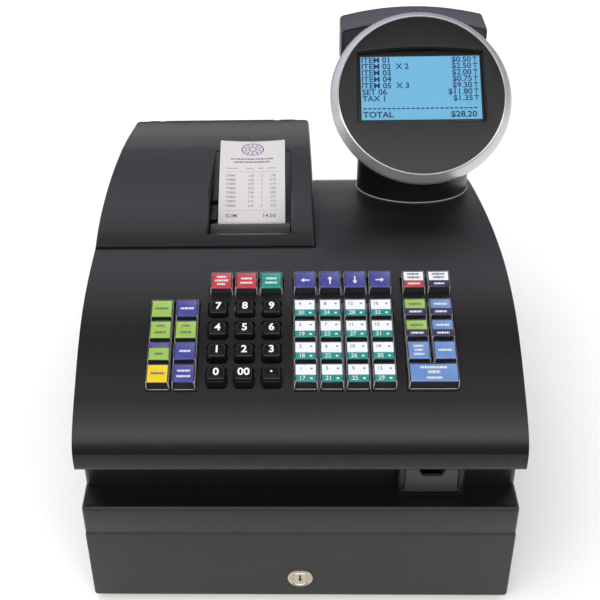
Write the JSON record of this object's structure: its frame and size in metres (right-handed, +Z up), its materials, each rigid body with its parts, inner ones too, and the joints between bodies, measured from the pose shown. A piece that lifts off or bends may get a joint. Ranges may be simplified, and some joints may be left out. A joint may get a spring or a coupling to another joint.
{
  "type": "cash register",
  "caption": "Electronic cash register with a receipt printer under a domed cover, a round tilting operator display on a post, a colour-keyed keyboard and a cash drawer below.",
  "frame": {"origin": "centre of the drawer cabinet's footprint at counter level, on the underside plane of the rubber feet", "axes": "+X to the cashier's right, +Y from the cashier to the back of the machine, +Z up"},
  "size_m": [0.3465, 0.4558, 0.3553],
  "materials": {
    "abs_black": "fine texture, soft sheen",
    "cabinet_paint": "powder coat",
    "zinc_steel": "zinc plated, satin",
    "stainless": "satin",
    "nickel": "nickel plated",
    "silver_plastic": "satin silver paint",
    "rubber_black": "matte",
    "till_plastic": "matte",
    "nylon_white": "natural nylon",
    "number_key_black": "glossy",
    "key_teal": "clear cap over printed inserts",
    "key_lime": "clear cap over printed inserts",
    "key_red": "clear cap over printed inserts",
    "key_purple": "clear cap over printed inserts",
    "key_blue": "clear cap over printed inserts",
    "smoked_window": "smoked acrylic, glossy",
    "lcd_glass": "backlit light blue",
    "circuit_board": "solder mask",
    "copper_winding": "satin",
    "paper": "thermal paper"
  },
  "bodies": {
    "register_body": {"cabinet_cover": "cabinet_paint", "cabinet_base": "cabinet_paint", "rubber_feet": "rubber_black", "cabinet_rails": "zinc_steel", "latch_bracket": "zinc_steel", "release_solenoid": "copper_winding", "ejector_spring": "stainless", "lower_case": "abs_black", "upper_case": "abs_black", "case_screws": "zinc_steel", "keyboard_plate": "zinc_steel", "keyboard_board": "circuit_board", "main_board": "circuit_board", "power_supply": "copper_winding", "power_cord": "rubber_black", "card_reader": "stainless", "cover_hinge_pins": "stainless", "printer_frame": "till_plastic", "print_head": "stainless", "tear_bar": "smoked_window", "paper_motor": "zinc_steel", "paper_spindle": "till_plastic", "paper_web": "paper", "post_column": "abs_black", "tilt_bracket": "till_plastic"},
    "cabinet_roller_pair": {"cabinet_rollers": "nylon_white"},
    "cash_drawer": {"drawer_front": "cabinet_paint", "drawer_box": "zinc_steel", "till_insert": "till_plastic", "clip_axle": "zinc_steel", "lock_body": "nickel"},
    "drawer_roller_pair": {"drawer_rollers": "nylon_white"},
    "bill_clip_set": {"bill_clips": "till_plastic"},
    "lock_cylinder": {"lock_plug": "nickel", "lock_cam": "zinc_steel"},
    "drawer_latch": {"latch_lever": "zinc_steel"},
    "plunger": {"solenoid_plunger": "zinc_steel"},
    "card_slot_door": {"card_door": "abs_black"},
    "printer_hatch": {"printer_cover": "abs_black", "receipt_paper": "paper"},
    "platen": {"platen_roller": "rubber_black"},
    "pinion": {"motor_pinion": "nylon_white"},
    "roll": {"paper_roll": "paper"},
    "operator_display": {"display_rear": "abs_black", "display_ring": "silver_plastic", "display_bezel": "abs_black", "lcd_panel": "lcd_glass"},
    "customer_head": {"customer_display": "abs_black", "customer_window": "smoked_window"},
    "number_keys_row_1_set": {"number_keys_row_1": "number_key_black"},
    "number_keys_row_2_set": {"number_keys_row_2": "number_key_black"},
    "number_keys_row_3_set": {"number_keys_row_3": "number_key_black"},
    "number_keys_row_4_set": {"number_keys_row_4": "number_key_black"},
    "department_keys_back_set": {"department_keys_back": "key_teal"},
    "department_keys_front_set": {"department_keys_front": "key_teal"},
    "function_keys_left_set": {"function_keys_left": "key_lime"},
    "function_keys_top_set": {"function_keys_top": "key_red"},
    "arrow_keys_set": {"arrow_keys": "key_purple"},
    "function_keys_right_set": {"function_keys_right": "key_blue"},
    "total_key_set": {"total_key": "key_blue"}
  },
  "joints": [
    {"name": "drawer_slide", "type": "slide", "parent": "register_body", "child": "cash_drawer", "axis": [0, -1, 0], "range_m": [0, 0.335]},
    {"name": "cabinet_roller_spin", "type": "hinge", "parent": "register_body", "child": "cabinet_roller_pair", "pos_m": [0.155, -0.181, 0.03695], "axis": [1, 0, 0], "continuous": true},
    {"name": "drawer_roller_spin", "type": "hinge", "parent": "cash_drawer", "child": "drawer_roller_pair", "pos_m": [0.155, 0.175, 0.03625], "axis": [1, 0, 0], "continuous": true},
    {"name": "bill_clip_lift", "type": "hinge", "parent": "cash_drawer", "child": "bill_clip_set", "pos_m": [0, 0.109, 0.055], "axis": [-1, 0, 0], "range_deg": [0, 70]},
    {"name": "lock_turn", "type": "hinge", "parent": "cash_drawer", "child": "lock_cylinder", "pos_m": [0.0005, -0.203, 0.0274], "axis": [0, 1, 0], "range_deg": [0, 90]},
    {"name": "latch_swing", "type": "hinge", "parent": "register_body", "child": "drawer_latch", "pos_m": [0.04, 0.192, 0.025], "axis": [0, 1, 0], "range_deg": [0, 8]},
    {"name": "plunger_pull", "type": "slide", "parent": "register_body", "child": "plunger", "axis": [0, 0, -1], "range_m": [0, 0.0046]},
    {"name": "card_door_fold", "type": "hinge", "parent": "register_body", "child": "card_slot_door", "pos_m": [0.098, -0.1981, 0.1102], "axis": [1, 0, 0], "range_deg": [0, 88]},
    {"name": "hatch_open", "type": "hinge", "parent": "register_body", "child": "printer_hatch", "pos_m": [-0.073, 0.2165, 0.189], "axis": [-1, 0, 0], "range_deg": [0, 80]},
    {"name": "platen_feed", "type": "hinge", "parent": "register_body", "child": "platen", "pos_m": [-0.038, -0.01, 0.197], "axis": [1, 0, 0], "continuous": true},
    {"name": "pinion_spin", "type": "hinge", "parent": "register_body", "child": "pinion", "pos_m": [-0.0818, -0.01, 0.182], "axis": [1, 0, 0], "continuous": true},
    {"name": "paper_roll_spin", "type": "hinge", "parent": "register_body", "child": "roll", "pos_m": [-0.038, 0.122, 0.17], "axis": [1, 0, 0], "continuous": true},
    {"name": "display_tilt", "type": "hinge", "parent": "register_body", "child": "operator_display", "pos_m": [0.107, 0.08032, 0.28226], "axis": [1, 0, 0], "range_deg": [-7, 18]},
    {"name": "customer_swivel", "type": "hinge", "parent": "register_body", "child": "customer_head", "pos_m": [0.107, 0.122, 0.28], "axis": [0, 0, 1], "range_deg": [-15, 15]},
    {"name": "number_keys_row_1_press", "type": "slide", "parent": "register_body", "child": "number_keys_row_1_set", "axis": [0, 0.342, -0.9397], "range_m": [0, 0.003]},
    {"name": "number_keys_row_2_press", "type": "slide", "parent": "register_body", "child": "number_keys_row_2_set", "axis": [0, 0.342, -0.9397], "range_m": [0, 0.003]},
    {"name": "number_keys_row_3_press", "type": "slide", "parent": "register_body", "child": "number_keys_row_3_set", "axis": [0, 0.342, -0.9397], "range_m": [0, 0.003]},
    {"name": "number_keys_row_4_press", "type": "slide", "parent": "register_body", "child": "number_keys_row_4_set", "axis": [0, 0.342, -0.9397], "range_m": [0, 0.003]},
    {"name": "department_keys_back_press", "type": "slide", "parent": "register_body", "child": "department_keys_back_set", "axis": [0, 0.342, -0.9397], "range_m": [0, 0.003]},
    {"name": "department_keys_front_press", "type": "slide", "parent": "register_body", "child": "department_keys_front_set", "axis": [0, 0.342, -0.9397], "range_m": [0, 0.003]},
    {"name": "function_keys_left_press", "type": "slide", "parent": "register_body", "child": "function_keys_left_set", "axis": [0, 0.342, -0.9397], "range_m": [0, 0.003]},
    {"name": "function_keys_top_press", "type": "slide", "parent": "register_body", "child": "function_keys_top_set", "axis": [0, 0.342, -0.9397], "range_m": [0, 0.003]},
    {"name": "arrow_keys_press", "type": "slide", "parent": "register_body", "child": "arrow_keys_set", "axis": [0, 0.342, -0.9397], "range_m": [0, 0.003]},
    {"name": "function_keys_right_press", "type": "slide", "parent": "register_body", "child": "function_keys_right_set", "axis": [0, 0.342, -0.9397], "range_m": [0, 0.003]},
    {"name": "total_key_press", "type": "slide", "parent": "register_body", "child": "total_key_set", "axis": [0, 0.342, -0.9397], "range_m": [0, 0.003]}
  ],
  "couplings": [
    {"joint": "cabinet_roller_spin", "follows": "drawer_slide", "rad_per_m": 125},
    {"joint": "drawer_roller_spin", "follows": "drawer_slide", "rad_per_m": 125},
    {"joint": "plunger_pull", "follows": "latch_swing", "m_per_rad": 0.0321},
    {"joint": "pinion_spin", "follows": "platen_feed", "ratio": -2},
    {"joint": "paper_roll_spin", "follows": "platen_feed", "ratio": -0.1579}
  ]
}
